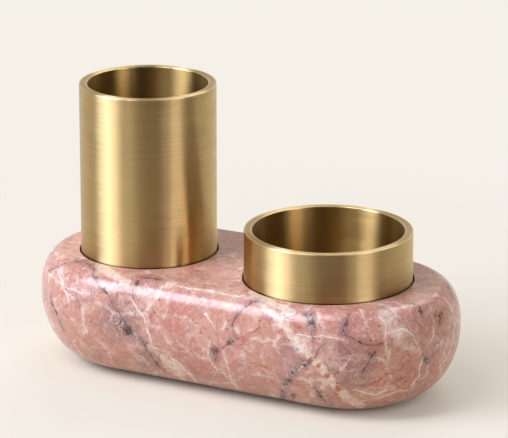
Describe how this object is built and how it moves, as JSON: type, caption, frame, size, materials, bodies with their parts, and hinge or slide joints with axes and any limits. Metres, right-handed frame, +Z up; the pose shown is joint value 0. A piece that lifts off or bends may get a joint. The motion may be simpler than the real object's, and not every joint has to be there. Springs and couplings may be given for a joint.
{
  "type": "twin pen holder",
  "caption": "Round-ended polished stone block with a tall brass cup for pens and a short wide brass cup for clips, each standing in a round socket and lifting straight out.",
  "frame": {"origin": "on the surface that the feet stand on, under the middle of the block's outline", "axes": "+X along the block from the tall cup to the short cup, +Y across the block, +Z up"},
  "size_m": [0.2272, 0.1102, 0.1458],
  "materials": {
    "stone": "polished pink marble",
    "brass": "satin, brushed round the cup",
    "felt": "pressed wool felt",
    "rubber": "matt"
  },
  "bodies": {
    "base": {"marble_base": "stone", "tall_cup_pad": "felt", "short_cup_pad": "felt", "foot_left_front": "rubber", "foot_left_back": "rubber", "foot_right_front": "rubber", "foot_right_back": "rubber"},
    "tall_cup": {"tall_cup_tube": "brass", "tall_cup_floor": "brass"},
    "short_cup": {"short_cup_tube": "brass", "short_cup_floor": "brass"}
  },
  "joints": [
    {"name": "tall_cup_lift", "type": "slide", "parent": "base", "child": "tall_cup", "axis": [0, 0, 1], "range_m": [0, 0.06]},
    {"name": "short_cup_lift", "type": "slide", "parent": "base", "child": "short_cup", "axis": [0, 0, 1], "range_m": [0, 0.06]}
  ]
}
